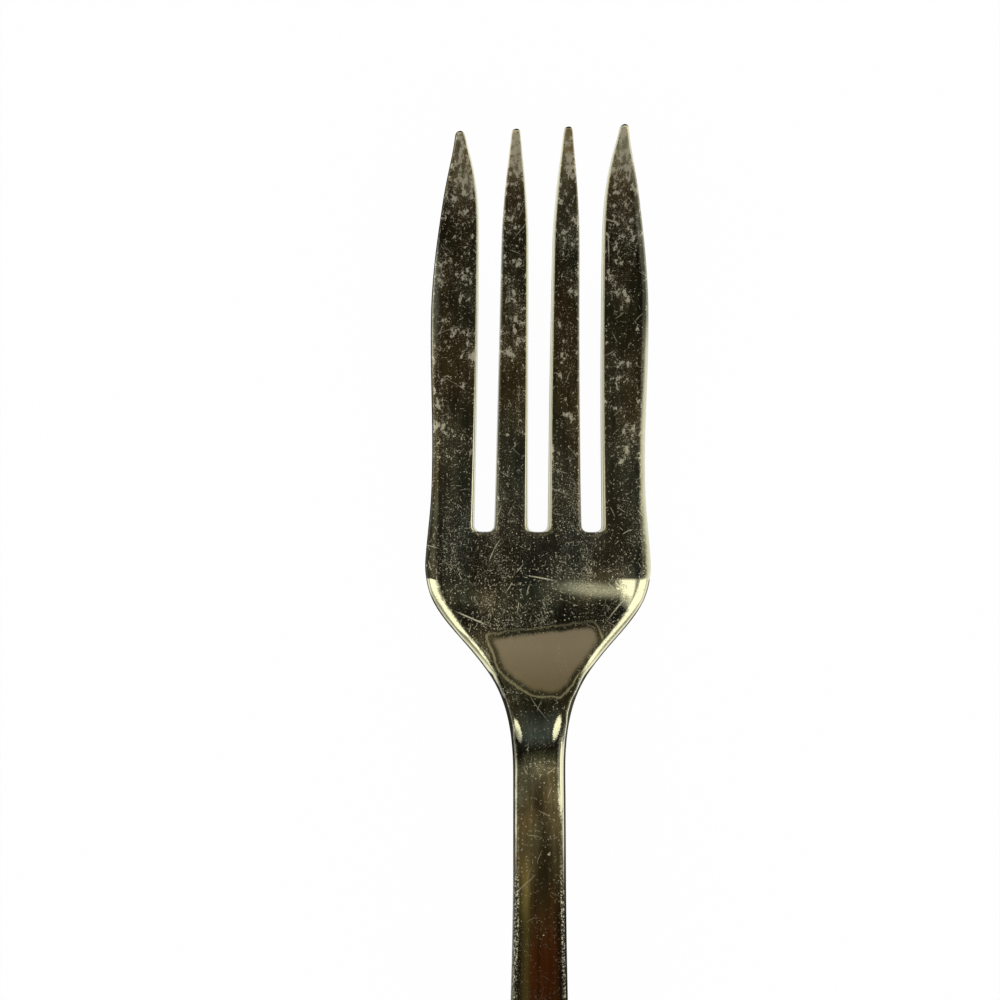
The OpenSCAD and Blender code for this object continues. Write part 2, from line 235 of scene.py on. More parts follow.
grained = add(tree, "ShaderNodeMapRange", {"Value": graining, "From Max": WELL_GRAINED})
haze = add(tree, "ShaderNodeMapRange", {"Value": grained, "To Min": 1.0, "To Max": haze})
shade = add(tree, "ShaderNodeMath", {0: shade, 1: haze}, operation="MULTIPLY")
film_and_reflections = add(tree, "ShaderNodeMix", {
    0: 1.0, 6: film_and_reflections, 7: shade,
}, data_type="RGBA", blend_type="MULTIPLY").outputs[2]

# A strip of olive runs down the left of the stem: a painted reflection that edges the red-brown beside it.
REFLECTED_STRIP_COLOUR = "84703F"
STRIP_EDGE = (-0.9, -1.3)
STRIP_TOP = (21.0, 14.0)
STRIP_FOOT = (-45.0, -5.0)
strip = add(tree, "ShaderNodeMapRange", {
    "Value": x_mm, "From Min": STRIP_EDGE[0], "From Max": STRIP_EDGE[1],
})
strip_top = add(tree, "ShaderNodeMapRange", {
    "Value": y_mm, "From Min": STRIP_TOP[0], "From Max": STRIP_TOP[1],
})
strip = add(tree, "ShaderNodeMath", {0: strip, 1: strip_top}, operation="MULTIPLY")
strip_foot = add(tree, "ShaderNodeMapRange", {
    "Value": y_mm, "From Min": STRIP_FOOT[0], "From Max": STRIP_FOOT[1],
}, interpolation_type="SMOOTHSTEP")
strip = add(tree, "ShaderNodeMath", {0: strip, 1: strip_foot}, operation="MULTIPLY")
film_and_reflections = add(tree, "ShaderNodeMix", {
    0: strip, 6: film_and_reflections, 7: linear(REFLECTED_STRIP_COLOUR),
}, data_type="RGBA").outputs[2]

# The whole film drifts a little between a warm and a cool tint.
WARM_TINT = "FFEFD8"
COOL_TINT = "E4F2F6"
tint = add(tree, "ShaderNodeMapRange", {"Value": drift, "From Min": 0.35, "From Max": 0.65})
tint = add(tree, "ShaderNodeMix", {
    0: tint, 6: linear(WARM_TINT), 7: linear(COOL_TINT),
}, data_type="RGBA").outputs[2]
film_and_reflections = add(tree, "ShaderNodeMix", {
    0: 1.0, 6: film_and_reflections, 7: tint,
}, data_type="RGBA", blend_type="MULTIPLY").outputs[2]

# Specks are dull patches of bare plate, fewer behind the tines and more on the tips. Between them lies a
# finer grain, drawn coarser than the real one, which would be too fine to show.
CLOUD_WEIGHT = 0.35
ZONE_WEIGHT = 0.1
SPECK_SIZE = 0.85
SPECK_SQUEEZE = (1.2, 0.8, 1.0)
SPECK_LEVELS = (0.755, 0.8)
SPECK_SHARE = 0.9
GRAIN_SIZE = 0.14
GRAIN_LEVELS = (0.84, 0.96)
squeezed = add(tree, "ShaderNodeMapping", {"Vector": mm, "Scale": SPECK_SQUEEZE})
speck_noise = add(tree, "ShaderNodeTexNoise", {
    "Vector": squeezed, "Scale": 1 / SPECK_SIZE, "Detail": 6.0, "Roughness": 0.72,
})
speck_level = add(tree, "ShaderNodeMath", {
    0: cloud, 1: CLOUD_WEIGHT, 2: speck_noise,
}, operation="MULTIPLY_ADD")
speck_level = add(tree, "ShaderNodeMath", {
    0: behind_tines, 1: -ZONE_WEIGHT, 2: speck_level,
}, operation="MULTIPLY_ADD")
speck_level = add(tree, "ShaderNodeMath", {
    0: mottling, 1: ZONE_WEIGHT, 2: speck_level,
}, operation="MULTIPLY_ADD")
specks = add(tree, "ShaderNodeMapRange", {
    "Value": speck_level, "From Min": SPECK_LEVELS[0], "From Max": SPECK_LEVELS[1], "To Max": SPECK_SHARE,
}, interpolation_type="SMOOTHSTEP")
grain_noise = add(tree, "ShaderNodeTexNoise", {
    "Vector": mm, "Scale": 1 / GRAIN_SIZE, "Detail": 3.0, "Roughness": 0.8,
})
grain_level = add(tree, "ShaderNodeMath", {
    0: cloud, 1: CLOUD_WEIGHT, 2: grain_noise,
}, operation="MULTIPLY_ADD")
grain_level = add(tree, "ShaderNodeMath", {
    0: graining, 1: ZONE_WEIGHT, 2: grain_level,
}, operation="MULTIPLY_ADD")
grain = add(tree, "ShaderNodeMapRange", {
    "Value": grain_level, "From Min": GRAIN_LEVELS[0], "From Max": GRAIN_LEVELS[1],
}, interpolation_type="SMOOTHSTEP")
marks = add(tree, "ShaderNodeMath", {0: specks, 1: grain}, operation="MAXIMUM")

# Glints are pin pricks of bright metal, one in some of the cells of a random grid. They too are drawn
# larger than real ones.
GLINT_SPACING = 0.5
GLINT_SIZE = 0.09
GLINT_SHARE = 0.5
GLINTS_ON_STEM = 0.3
pricks = add(tree, "ShaderNodeTexVoronoi", {
    "Vector": flat, "Scale": 1 / GLINT_SPACING,
}, voronoi_dimensions="2D")
prick = add(tree, "ShaderNodeMapRange", {
    "Value": pricks.outputs["Distance"],
    "From Min": GLINT_SIZE / GLINT_SPACING, "From Max": GLINT_SIZE / 2 / GLINT_SPACING,
}, interpolation_type="SMOOTHSTEP")
chosen = add(tree, "ShaderNodeSeparateColor", {0: pricks.outputs["Color"]})
chosen = add(tree, "ShaderNodeMapRange", {"Value": chosen, "From Min": GLINT_SHARE, "From Max": 0.0})
glints = add(tree, "ShaderNodeMath", {0: prick, 1: chosen}, operation="MULTIPLY")
few = add(tree, "ShaderNodeMapRange", {"Value": grained, "To Min": GLINTS_ON_STEM, "To Max": 1.0})
glints = add(tree, "ShaderNodeMath", {0: glints, 1: few}, operation="MULTIPLY")
marks = add(tree, "ShaderNodeMath", {0: marks, 1: glints}, operation="MAXIMUM")

# Hairlines: one short, slightly bent scratch in some of the cells of a random grid, turned at random and
# drawn coarser than a real one. The grid is moved on the front, so that the back has other hairlines.
HAIRLINES = [
    {"spacing": 0.45, "length": 0.38, "width": 0.04, "share": 0.22},
    {"spacing": 0.8, "length": 0.6, "width": 0.05, "share": 0.34},
    {"spacing": 2.2, "length": 1.6, "width": 0.07, "share": 0.4},
    {"spacing": 6.0, "length": 4.0, "width": 0.08, "share": 0.3},
]
HAIRLINE_BEND = 0.6
HAIRLINE_STRENGTH = 0.85
HAIRLINES_ON_STEM = 0.25
FRONT_MOVED = 37.0
side = add(tree, "ShaderNodeMath", {0: front, 1: FRONT_MOVED}, operation="MULTIPLY")
shifted = add(tree, "ShaderNodeVectorMath", {0: flat, 1: side}, operation="ADD")
lined = add(tree, "ShaderNodeMapRange", {"Value": graining, "To Min": HAIRLINES_ON_STEM, "To Max": 1.0})
for hairline in HAIRLINES:
    cell = add(tree, "ShaderNodeTexVoronoi", {
        "Vector": shifted, "Scale": 1 / hairline["spacing"],
    }, voronoi_dimensions="2D")
    chance = add(tree, "ShaderNodeSeparateColor", {0: cell.outputs["Color"]})
    away = add(tree, "ShaderNodeVectorMath", {0: shifted, 1: cell.outputs["Position"]}, operation="SUBTRACT")
    angle = add(tree, "ShaderNodeMath", {0: chance, 1: math.tau}, operation="MULTIPLY")
    turned = add(tree, "ShaderNodeVectorRotate", {"Vector": away, "Angle": angle}, rotation_type="Z_AXIS")
    along = add(tree, "ShaderNodeSeparateXYZ", {0: turned})
    square = add(tree, "ShaderNodeMath", {0: along, 1: along}, operation="MULTIPLY")
    bend = add(tree, "ShaderNodeMath", {0: chance.outputs[2], 1: 0.5}, operation="SUBTRACT")
    bend = add(tree, "ShaderNodeMath", {
        0: bend, 1: HAIRLINE_BEND / hairline["length"],
    }, operation="MULTIPLY")
    bent = add(tree, "ShaderNodeMath", {
        0: square, 1: bend, 2: along.outputs["Y"],
    }, operation="MULTIPLY_ADD")
    across = add(tree, "ShaderNodeMath", {0: bent}, operation="ABSOLUTE")
    thin = add(tree, "ShaderNodeMapRange", {
        "Value": across, "From Min": hairline["width"] / 4, "From Max": hairline["width"],
        "To Min": 1.0, "To Max": 0.0,
    }, interpolation_type="SMOOTHSTEP")
    reach = add(tree, "ShaderNodeMath", {0: along}, operation="ABSOLUTE")
    ends = add(tree, "ShaderNodeMapRange", {
        "Value": reach, "From Min": hairline["length"] / 5, "From Max": hairline["length"] / 2,
        "To Min": 1.0, "To Max": 0.0,
    }, interpolation_type="SMOOTHSTEP")
    here = add(tree, "ShaderNodeMapRange", {
        "Value": chance.outputs[1], "From Min": hairline["share"], "From Max": hairline["share"] / 2,
        "To Max": HAIRLINE_STRENGTH,
    })
    mark = add(tree, "ShaderNodeMath", {0: thin, 1: ends}, operation="MULTIPLY")
    mark = add(tree, "ShaderNodeMath", {0: mark, 1: here}, operation="MULTIPLY")
    mark = add(tree, "ShaderNodeMath", {0: mark, 1: lined}, operation="MULTIPLY")
    marks = add(tree, "ShaderNodeMath", {0: mark, 1: marks}, operation="MAXIMUM")

# The long scratches, each by its middle, half its length, and its turn in degrees from +X.
SCRATCHES = [
    ((-7.5, 45.6), 2.2, -23), ((8.9, 46.8), 1.85, 51), ((0.4, 50.2), 1.65, -10),
    ((7.75, 89.95), 1.2, -16), ((7.55, 87.1), 1.6, -87),
]
SCRATCH_WIDTH = 0.09
SCRATCH_EDGE = (1.2, 0.4)
FAINTEST_MARK = 0.55


def oval(tree, plane, middle, size, turn):
    """How far out each point of a plane lies in a turned oval: 0 at its middle and 1 on its edge."""
    placed = add(tree, "ShaderNodeMapping", {
        "Vector": plane, "Location": (*middle, 0.0), "Rotation": (0.0, 0.0, math.radians(turn)),
        "Scale": (*size, 1.0),
    }, vector_type="TEXTURE")
    return add(tree, "ShaderNodeVectorMath", {0: placed}, operation="LENGTH").outputs["Value"]


for middle, half_length, turn in SCRATCHES:
    far = oval(tree, flat, middle, (half_length, SCRATCH_WIDTH), turn)
    mark = add(tree, "ShaderNodeMapRange", {
        "Value": far, "From Min": SCRATCH_EDGE[0], "From Max": SCRATCH_EDGE[1],
    })
    mark = add(tree, "ShaderNodeMath", {0: mark, 1: front}, operation="MULTIPLY")
    marks = add(tree, "ShaderNodeMath", {0: mark, 1: marks}, operation="MAXIMUM")

varied = add(tree, "ShaderNodeMapRange", {
    "Value": speck_noise, "From Min": 0.35, "From Max": 0.6, "To Min": FAINTEST_MARK,
})
marks = add(tree, "ShaderNodeMath", {0: marks, 1: varied}, operation="MULTIPLY")

# A painted reflection of a pale shield on the heel: six rounded sides, a dark gap round them, and in the gap
# a paler ring. Each side is its direction in degrees from +X and its distance from the middle.
REFLECTED_SHIELD_COLOUR = "9C8E7A"
REFLECTED_SHIELD_LOW_COLOUR = "86785F"
SHIELD_GAP_COLOUR = "453F2E"
SHIELD_RING_COLOUR = "B0A88A"
SHIELD_MIDDLE = (0.9, 40.8)
SHIELD_SIDES = [(-93, 2.9), (-38, 2.9), (26, 6.1), (97, 3.0), (-159, 4.5), (-123, 3.2)]
SHIELD_CORNER = 1.0
SHIELD_FLECKS = 0.3
SHIELD_LOW_PART = (42.5, 38.0)
WAVER_SIZE = 1.25
WAVER = 0.7
SHIELD_EDGE = (0.85, 0.2)
SHIELD_SHARE = 0.93
GAP_EDGE = (1.7, 1.2)
GAP_SHARE = 0.6
RING_AT = 1.2
RING_EDGE = (0.18, 0.03)
RING_SHARE = 0.5
waver = add(tree, "ShaderNodeTexNoise", {"Vector": mm, "Scale": 1 / WAVER_SIZE, "Detail": 3.0})
depths = []
from_shield = add(tree, "ShaderNodeVectorMath", {0: flat, 1: (*SHIELD_MIDDLE, 0.0)}, operation="SUBTRACT")
for turn, distance in SHIELD_SIDES:
    towards = (math.cos(math.radians(turn)), math.sin(math.radians(turn)), 0.0)
    depth = add(tree, "ShaderNodeVectorMath", {0: from_shield, 1: towards}, operation="DOT_PRODUCT")
    depth = add(tree, "ShaderNodeMath", {0: depth.outputs["Value"], 1: distance}, operation="SUBTRACT")
    depths.append(depth)
edge = depths[0]
for depth in depths[1:]:
    edge = add(tree, "ShaderNodeMath", {0: edge, 1: depth, 2: SHIELD_CORNER}, operation="SMOOTH_MAX")
edge = add(tree, "ShaderNodeMath", {0: waver, 1: WAVER, 2: edge}, operation="MULTIPLY_ADD")
shield_reflection = add(tree, "ShaderNodeMapRange", {
    "Value": edge, "From Min": SHIELD_EDGE[0], "From Max": SHIELD_EDGE[1], "To Max": SHIELD_SHARE,
}, interpolation_type="SMOOTHSTEP")
shield_reflection = add(tree, "ShaderNodeMath", {0: shield_reflection, 1: front}, operation="MULTIPLY")
gap = add(tree, "ShaderNodeMapRange", {
    "Value": edge, "From Min": GAP_EDGE[0], "From Max": GAP_EDGE[1], "To Max": GAP_SHARE,
}, interpolation_type="SMOOTHSTEP")
gap = add(tree, "ShaderNodeMath", {0: gap, 1: front}, operation="MULTIPLY")
ring = add(tree, "ShaderNodeMath", {0: edge, 1: RING_AT}, operation="SUBTRACT")
ring = add(tree, "ShaderNodeMath", {0: ring}, operation="ABSOLUTE")
ring = add(tree, "ShaderNodeMapRange", {
    "Value": ring, "From Min": RING_EDGE[0], "From Max": RING_EDGE[1], "To Max": RING_SHARE,
}, interpolation_type="SMOOTHSTEP")
ring = add(tree, "ShaderNodeMath", {0: ring, 1: front}, operation="MULTIPLY")
low_shield = add(tree, "ShaderNodeMapRange", {
    "Value": y_mm, "From Min": SHIELD_LOW_PART[0], "From Max": SHIELD_LOW_PART[1],
})
shield_tone = add(tree, "ShaderNodeMix", {
    0: low_shield, 6: linear(REFLECTED_SHIELD_COLOUR), 7: linear(REFLECTED_SHIELD_LOW_COLOUR),
}, data_type="RGBA").outputs[2]
fleck = add(tree, "ShaderNodeMath", {0: grain, 1: SHIELD_FLECKS}, operation="MULTIPLY")
shield_tone = add(tree, "ShaderNodeMix", {
    0: fleck, 6: shield_tone, 7: linear(SPECK_COLOUR),
}, data_type="RGBA").outputs[2]

# Rubbing bares the rims, and the bare rims also carry painted reflections: widest on the heel, which runs
# from HEEL[0] to the shoulders at HEEL[1], where they end in a straight line, wider on the right ahead of the
# heel, and faint on the left.
HEEL = (38.0, 50.1)
HEEL_FADE = 4.0
SHOULDER_FADE = 0.15
RIM_WIDTH = 0.45
HEEL_RIM_WIDTH = 1.4
RIGHT_RIM_EXTRA = 0.3
RIM_RAGGED = 0.7
LEFT_AHEAD_SHARE = 0.05
right = add(tree, "ShaderNodeMath", {0: x_mm, 1: 0.0}, operation="GREATER_THAN")
ahead = add(tree, "ShaderNodeMath", {0: y_mm, 1: HEEL[1]}, operation="GREATER_THAN")
right_ahead = add(tree, "ShaderNodeMath", {0: ahead, 1: right}, operation="MULTIPLY")
left_ahead = add(tree, "ShaderNodeMath", {0: ahead, 1: right}, operation="SUBTRACT")
behind = add(tree, "ShaderNodeMapRange", {
    "Value": y_mm, "From Min": HEEL[1] + SHOULDER_FADE, "From Max": HEEL[1] - SHOULDER_FADE,
})
heel = add(tree, "ShaderNodeMapRange", {
    "Value": y_mm, "From Min": HEEL[0], "From Max": HEEL[0] + HEEL_FADE,
    "To Max": HEEL_RIM_WIDTH - RIM_WIDTH,
}, interpolation_type="SMOOTHSTEP")
heel = add(tree, "ShaderNodeMath", {0: heel, 1: behind}, operation="MULTIPLY")
ragged = add(tree, "ShaderNodeMath", {0: rim, 1: heel}, operation="SUBTRACT")
ragged = add(tree, "ShaderNodeMath", {
    0: right_ahead, 1: -RIGHT_RIM_EXTRA, 2: ragged,
}, operation="MULTIPLY_ADD")
for noise in (speck_noise, grain_noise):
    ragged = add(tree, "ShaderNodeMath", {0: noise, 1: RIM_RAGGED, 2: ragged}, operation="MULTIPLY_ADD")
rubbed_and_sheen = add(tree, "ShaderNodeMapRange", {
    "Value": ragged, "From Min": RIM_WIDTH + RIM_RAGGED, "From Max": RIM_RAGGED,
}, interpolation_type="SMOOTHSTEP")
left_share = add(tree, "ShaderNodeMapRange", {
    "Value": left_ahead, "To Min": 1.0, "To Max": LEFT_AHEAD_SHARE,
})
rubbed_and_sheen = add(tree, "ShaderNodeMath", {0: rubbed_and_sheen, 1: left_share}, operation="MULTIPLY")
rubbed_and_sheen = add(tree, "ShaderNodeMath", {0: rubbed_and_sheen, 1: rubbing_and_sheen}, operation="MULTIPLY")

# The right shoulder has a painted reflection: a glow of bare plate that widens up to the end of the heel.
GLOW_FROM = 45.2
GLOW_WIDTHS = (0.3, 6.0)
GLOW_RAGGED = 0.6
GLOW_EDGE = (1.35, 1.1)
glow_width = add(tree, "ShaderNodeMapRange", {
    "Value": y_mm, "From Min": GLOW_FROM, "From Max": HEEL[1],
    "To Min": GLOW_WIDTHS[0], "To Max": GLOW_WIDTHS[1],
})
glow = add(tree, "ShaderNodeMath", {0: rim, 1: glow_width}, operation="DIVIDE")
for noise in (speck_noise, grain_noise):
    glow = add(tree, "ShaderNodeMath", {0: noise, 1: GLOW_RAGGED, 2: glow}, operation="MULTIPLY_ADD")
glow = add(tree, "ShaderNodeMapRange", {
    "Value": glow, "From Min": GLOW_EDGE[0], "From Max": GLOW_EDGE[1],
}, interpolation_type="SMOOTHSTEP")
glow = add(tree, "ShaderNodeMath", {0: glow, 1: right}, operation="MULTIPLY")
glow = add(tree, "ShaderNodeMath", {0: glow, 1: behind}, operation="MULTIPLY")
rubbed_and_sheen = add(tree, "ShaderNodeMath", {0: rubbed_and_sheen, 1: glow}, operation="MAXIMUM")

# The stem's rims stay black, a painted dark reflection, with flecks of bare plate.
STEM_RIM_BELOW = 23.0
STEM_RIM_FADE = 7.0
STEM_RIM_WIDTH = 0.62
STEM_RIM_SOFT = 0.25
RIM_FLECK_SIZE = 0.24
RIM_FLECK_SHARE = 0.6
stem = add(tree, "ShaderNodeMapRange", {
    "Value": y_mm, "From Min": STEM_RIM_BELOW, "From Max": STEM_RIM_BELOW - STEM_RIM_FADE,
}, interpolation_type="SMOOTHSTEP")
shaded_stem_rim = add(tree, "ShaderNodeMapRange", {
    "Value": rim, "From Min": STEM_RIM_WIDTH, "From Max": STEM_RIM_WIDTH - STEM_RIM_SOFT,
}, interpolation_type="SMOOTHSTEP")
shaded_stem_rim = add(tree, "ShaderNodeMath", {0: shaded_stem_rim, 1: stem}, operation="MULTIPLY")
flecked = add(tree, "ShaderNodeTexNoise", {
    "Vector": mm, "Scale": 1 / RIM_FLECK_SIZE, "Detail": 3.0, "Roughness": 0.7,
})
flecked = add(tree, "ShaderNodeMapRange", {
    "Value": flecked, "From Min": 0.5, "From Max": 0.6,
}, interpolation_type="SMOOTHSTEP")
bright_flecks = add(tree, "ShaderNodeMath", {0: shaded_stem_rim, 1: flecked}, operation="MULTIPLY")
bright_flecks = add(tree, "ShaderNodeMath", {0: bright_flecks, 1: RIM_FLECK_SHARE}, operation="MULTIPLY")
not_shaded_stem_rim = add(tree, "ShaderNodeMath", {0: 1.0, 1: shaded_stem_rim}, operation="SUBTRACT")
rubbed_and_sheen = add(tree, "ShaderNodeMath", {0: rubbed_and_sheen, 1: not_shaded_stem_rim}, operation="MULTIPLY")
rubbed_and_sheen = add(tree, "ShaderNodeMath", {0: rubbed_and_sheen, 1: bright_flecks}, operation="MAXIMUM")

# The walls inside the slots carry a painted reflection: they are bright where they face the fork's middle.
WALL_LEAN = (0.28, 0.5)
SLOTS_INSIDE = (1.0, 1.3)
FACING_FADE = 0.2
OUTER_WALL_SHARE = 0.12
sideways = add(tree, "ShaderNodeMath", {0: normal.outputs["X"]}, operation="ABSOLUTE")
lit_slot_wall = add(tree, "ShaderNodeMapRange", {
    "Value": sideways, "From Min": WALL_LEAN[0], "From Max": WALL_LEAN[1],
}, interpolation_type="SMOOTHSTEP")
slot = add(tree, "ShaderNodeMapRange", {
    "Value": rim, "From Min": SLOTS_INSIDE[0], "From Max": SLOTS_INSIDE[1],
})
lit_slot_wall = add(tree, "ShaderNodeMath", {0: lit_slot_wall, 1: slot}, operation="MULTIPLY")
facing = add(tree, "ShaderNodeMath", {0: normal.outputs["X"], 1: x_mm}, operation="MULTIPLY")
inwards = add(tree, "ShaderNodeMapRange", {
    "Value": facing, "From Min": FACING_FADE, "From Max": -FACING_FADE,
    "To Min": OUTER_WALL_SHARE, "To Max": 1.0,
})
lit_slot_wall = add(tree, "ShaderNodeMath", {0: lit_slot_wall, 1: inwards}, operation="MULTIPLY")
rubbed_and_sheen = add(tree, "ShaderNodeMath", {0: rubbed_and_sheen, 1: lit_slot_wall}, operation="MAXIMUM")

# Painted highlights, laid on as patches of bare plate such as other cutlery rubs in a drawer: on the right
# shoulder, the neck's two bright marks, the band on the right of the stem and a band on the left outer tine.
# For each: where it lies, half its size, its turn in degrees, how softly it fades, and how bare it is.
RUBBED_AND_HIGHLIGHT_PATCHES = [
    {"middle": (6.6, 48.9), "size": (4.0, 0.7), "turn": -6, "soft": 1.5, "share": 0.5},
    {"middle": (-2.38, 33.5), "size": (0.34, 1.2), "turn": 15, "soft": 0.3, "share": 1.0},
    {"middle": (1.97, 33.8), "size": (0.34, 1.3), "turn": -15, "soft": 0.3, "share": 1.0},
    {"middle": (2.5, 28.6), "size": (0.5, 4.0), "turn": 0, "soft": 0.5, "share": 1.0},
    {"middle": (-12.0, 80.5), "size": (0.55, 7.5), "turn": -2, "soft": 1.2, "share": 0.6},
]
PATCH_RAGGED = 1.6
for patch in RUBBED_AND_HIGHLIGHT_PATCHES:
    far = oval(tree, flat, patch["middle"], patch["size"], patch["turn"])
    far = add(tree, "ShaderNodeMath", {0: grain_noise, 1: PATCH_RAGGED, 2: far}, operation="MULTIPLY_ADD")
    far = add(tree, "ShaderNodeMath", {0: far, 1: PATCH_RAGGED / 2}, operation="SUBTRACT")
    patch_highlight = add(tree, "ShaderNodeMapRange", {
        "Value": far, "From Min": 1.0 + patch["soft"] / 2, "From Max": 1.0 - patch["soft"] / 2,
        "To Max": patch["share"],
    }, interpolation_type="SMOOTHSTEP")
    speckled = add(tree, "ShaderNodeMapRange", {
        "Value": grain_noise, "From Min": 0.4, "From Max": 0.65, "To Min": patch["share"] ** 2,
    })
    patch_highlight = add(tree, "ShaderNodeMath", {0: patch_highlight, 1: speckled}, operation="MULTIPLY")
    patch_highlight = add(tree, "ShaderNodeMath", {0: patch_highlight, 1: front}, operation="MULTIPLY")
    rubbed_and_sheen = add(tree, "ShaderNodeMath", {0: rubbed_and_sheen, 1: patch_highlight}, operation="MAXIMUM")

# A thin outline, the tips' ends and the steep foot of the slots' walls are painted almost black: painted
# shade for the shadowed table under the fork that they mirror.
OUTLINE_WIDTH = 0.15
HEEL_OUTLINE_EXTRA = 0.1
LEFT_STEM_THINNER = 0.65
TIP_LEAN = (0.1, 0.4)
FOOT_NORMAL = (0.1, 0.0)
BLACK_SHARE = 0.9
outline_width = add(tree, "ShaderNodeMath", {
    0: heel, 1: HEEL_OUTLINE_EXTRA, 2: OUTLINE_WIDTH,
}, operation="MULTIPLY_ADD")
shaded_outline = add(tree, "ShaderNodeMapRange", {
    "Value": rim, "From Min": outline_width, "From Max": OUTLINE_WIDTH / 3, "To Max": BLACK_SHARE,
}, interpolation_type="SMOOTHSTEP")
shaded_outline = add(tree, "ShaderNodeMapRange", {"Value": right_ahead, "To Min": shaded_outline, "To Max": 0.0})
left_stem = add(tree, "ShaderNodeMath", {0: 1.0, 1: right}, operation="SUBTRACT")
left_stem = add(tree, "ShaderNodeMath", {0: left_stem, 1: stem}, operation="MULTIPLY")
thinned = add(tree, "ShaderNodeMath", {
    0: left_stem, 1: -LEFT_STEM_THINNER, 2: 1.0,
}, operation="MULTIPLY_ADD")
shaded_outline = add(tree, "ShaderNodeMath", {0: shaded_outline, 1: thinned}, operation="MULTIPLY")
shaded_cap = add(tree, "ShaderNodeMapRange", {
    "Value": normal.outputs["Y"], "From Min": TIP_LEAN[0], "From Max": TIP_LEAN[1],
}, interpolation_type="SMOOTHSTEP")
shaded_cap = add(tree, "ShaderNodeMath", {0: shaded_cap, 1: mottling}, operation="MULTIPLY")
painted_dark_edges = add(tree, "ShaderNodeMath", {0: shaded_outline, 1: shaded_cap}, operation="MAXIMUM")
shaded_foot = add(tree, "ShaderNodeMapRange", {
    "Value": normal.outputs["Z"], "From Min": FOOT_NORMAL[0], "From Max": FOOT_NORMAL[1],
    "To Max": BLACK_SHARE,
})
shaded_foot = add(tree, "ShaderNodeMath", {0: shaded_foot, 1: lit_slot_wall}, operation="MULTIPLY")
painted_dark_edges = add(tree, "ShaderNodeMath", {0: painted_dark_edges, 1: shaded_foot}, operation="MAXIMUM")

# The film is thick and almost black near rims that are little rubbed, partly painted shade for the dark that
# these rims mirror, and it is painted black on the rims of the stem.
DARK_RIM_REACH = (1.4, 0.5)
DARK_RIM_SHARE = 1.1
dark_rim_film = add(tree, "ShaderNodeMapRange", {
    "Value": rim, "From Min": DARK_RIM_REACH[0], "From Max": DARK_RIM_REACH[1], "To Max": DARK_RIM_SHARE,
}, interpolation_type="SMOOTHSTEP")
dull_rims = add(tree, "ShaderNodeMath", {0: 1.0, 1: rubbing_and_sheen}, operation="SUBTRACT")
dark_rim_film = add(tree, "ShaderNodeMath", {0: dark_rim_film, 1: dull_rims}, operation="MULTIPLY")
dark_rim_film = add(tree, "ShaderNodeMapRange", {"Value": mottling, "To Min": dark_rim_film, "To Max": 0.0})
dark_rim_film = add(tree, "ShaderNodeMath", {0: dark_rim_film, 1: shaded_stem_rim}, operation="MAXIMUM")

# Each coat lies over the one before it, in its colour and then in its roughness. Bare plate is polished,
# and dull only on the right ahead of the heel, where wear has scoured it.
FILM_ROUGHNESS = 0.18
SPECK_ROUGHNESS = 0.5
SHIELD_ROUGHNESS = 0.4
PLATE_ROUGHNESS = 0.14
SCOURED_ROUGHNESS = 0.4
BLACK_ROUGHNESS = 0.6
MARK_DEPTH = 0.01 * MM
NO_TINT = "FFFFFF"
# Among these coats, the shield is a painted reflection, much of the bare plate is painted highlights and
# reflections, and the dark is painted shade.
colour = film_and_reflections
for share, coat in (
    (dark_rim_film, linear(DARK_COLOUR)), (marks, linear(SPECK_COLOUR)), (gap, linear(SHIELD_GAP_COLOUR)),
    (shield_reflection, shield_tone), (ring, linear(SHIELD_RING_COLOUR)), (rubbed_and_sheen, linear(PLATE_COLOUR)),
    (painted_dark_edges, linear(DARK_COLOUR)),
):
    colour = add(tree, "ShaderNodeMix", {0: share, 6: colour, 7: coat}, data_type="RGBA").outputs[2]
bare_roughness = add(tree, "ShaderNodeMapRange", {
    "Value": right_ahead, "To Min": PLATE_ROUGHNESS, "To Max": SCOURED_ROUGHNESS,
})
roughness = FILM_ROUGHNESS
for share, coat in (
    (marks, SPECK_ROUGHNESS), (shield_reflection, SHIELD_ROUGHNESS), (rubbed_and_sheen, bare_roughness), (painted_dark_edges, BLACK_ROUGHNESS),
):
    roughness = add(tree, "ShaderNodeMapRange", {"Value": share, "To Min": roughness, "To Max": coat})
# The specular tint goes dark with the painted shade of the black edges.
shade_specular_tint = add(tree, "ShaderNodeMix", {
    0: painted_dark_edges, 6: linear(NO_TINT), 7: linear(DARK_COLOUR),
}, data_type="RGBA").outputs[2]
relief = add(tree, "ShaderNodeBump", {"Height": marks, "Strength": 0.5, "Distance": MARK_DEPTH})
shader = add(tree, "ShaderNodeBsdfPrincipled", {
    "Base Color": colour, "Metallic": 1.0, "Roughness": roughness, "Normal": relief,
    "Specular Tint": shade_specular_tint,
})
add(tree, "ShaderNodeOutputMaterial", {"Surface": shader})
fork_mesh.materials.clear()
fork_mesh.materials.append(silver)

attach(fork, "root")
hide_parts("fork")

